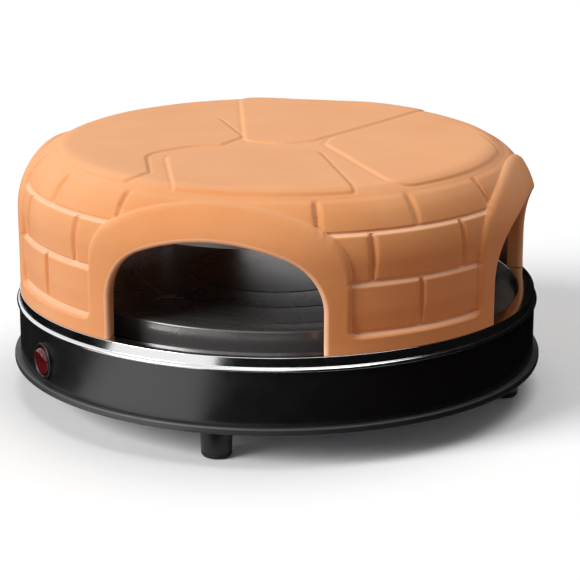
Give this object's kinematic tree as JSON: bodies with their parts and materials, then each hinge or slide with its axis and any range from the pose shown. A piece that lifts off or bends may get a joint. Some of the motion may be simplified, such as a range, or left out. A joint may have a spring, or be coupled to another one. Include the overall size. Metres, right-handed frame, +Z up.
{
  "type": "electric pizza maker",
  "caption": "Round electric pizza maker with a lift-off terracotta dome, arched mouths on all sides, a baking plate and heaters above and below it.",
  "frame": {"origin": "middle of the object on the floor, under its four feet", "axes": "+Z up, -Y through the middle of the front mouth, +X to the right seen from the front"},
  "size_m": [0.3644, 0.3644, 0.1721],
  "materials": {
    "black_enamel": "satin black",
    "galvanised": "zinc-coated sheet",
    "zinc_screws": "zinc-plated",
    "black_plastic": "black, heat-resistant",
    "tip_rubber": "black, matte",
    "polished_steel": "polished stainless steel",
    "reflector_steel": "bright aluminised sheet",
    "spring_steel": "bright",
    "white_ceramic": "white, unglazed",
    "element_sheath": "heat-darkened rod",
    "brass_contacts": "bare",
    "thermostat_body": "dark phenolic",
    "fuse_case": "bare",
    "block_plastic": "cream",
    "wire_brown": "brown silicone sleeve",
    "wire_black": "black silicone sleeve",
    "wire_red": "red silicone sleeve",
    "wire_blue": "blue silicone sleeve",
    "wire_green": "green and yellow sleeve",
    "glass_sleeve": "white glass-fibre sleeve",
    "lamp_glass": "clear orange",
    "leg_steel": "bright tube",
    "nonstick": "glossy dark non-stick",
    "terracotta": "unglazed fired clay",
    "rocker_red": "deep red, translucent"
  },
  "bodies": {
    "base": {"base_wall": "black_enamel", "bottom_plate": "galvanised", "base_screws": "zinc_screws", "foot_front": "black_plastic", "foot_right": "black_plastic", "foot_back": "black_plastic", "foot_left": "black_plastic", "foot_tips": "tip_rubber", "foot_screws": "zinc_screws", "rim_ring": "polished_steel", "reflector_tray": "reflector_steel", "tray_screws": "zinc_screws", "dome_guides": "reflector_steel", "plate_rests": "white_ceramic", "lower_element": "element_sheath", "lower_clips": "spring_steel", "lower_beads": "white_ceramic", "heater_sockets": "white_ceramic", "socket_nuts": "zinc_screws", "socket_tabs": "brass_contacts", "heat_shield": "galvanised", "shield_spacers": "white_ceramic", "shield_screws": "zinc_screws", "thermostat": "thermostat_body", "thermostat_bracket": "galvanised", "thermostat_screws": "zinc_screws", "thermal_fuse": "fuse_case", "terminal_block": "block_plastic", "terminal_screws": "brass_contacts", "earth_stud": "zinc_screws", "wire_live": "wire_brown", "wire_switched": "wire_black", "wire_element": "wire_red", "wire_neutral": "wire_blue", "wire_upper_left": "wire_blue", "wire_upper_right": "wire_red", "wire_earth": "wire_green", "switch_housing": "black_plastic", "switch_terminals": "brass_contacts", "switch_lamp": "lamp_glass", "cord_gland": "black_plastic", "gland_nut": "black_plastic"},
    "plate": {"baking_plate": "nonstick"},
    "upper_heater": {"upper_reflector": "reflector_steel", "upper_element": "element_sheath", "upper_clips": "spring_steel", "upper_beads": "white_ceramic", "leg_front_left": "leg_steel", "leg_front_right": "leg_steel", "leg_back_left": "leg_steel", "leg_back_right": "leg_steel", "leg_nuts": "zinc_screws", "plug_pins": "brass_contacts", "pin_bushes": "white_ceramic", "upper_leads": "glass_sleeve"},
    "dome": {"terracotta_dome": "terracotta"},
    "rocker": {"switch_rocker": "rocker_red"}
  },
  "joints": [
    {"name": "dome_lift", "type": "slide", "parent": "base", "child": "dome", "axis": [0, 0, 1], "range_m": [0, 0.12]},
    {"name": "plate_lift", "type": "slide", "parent": "base", "child": "plate", "axis": [0, 0, 1], "range_m": [0, 0.034]},
    {"name": "heater_unplug", "type": "slide", "parent": "base", "child": "upper_heater", "axis": [0, 0, 1], "range_m": [0, 0.014]},
    {"name": "switch_rock", "type": "hinge", "parent": "base", "child": "rocker", "pos_m": [-0.12502, -0.12502, 0.0425], "axis": [-0.7071, 0.7071, 0], "range_deg": [0, 20]}
  ]
}
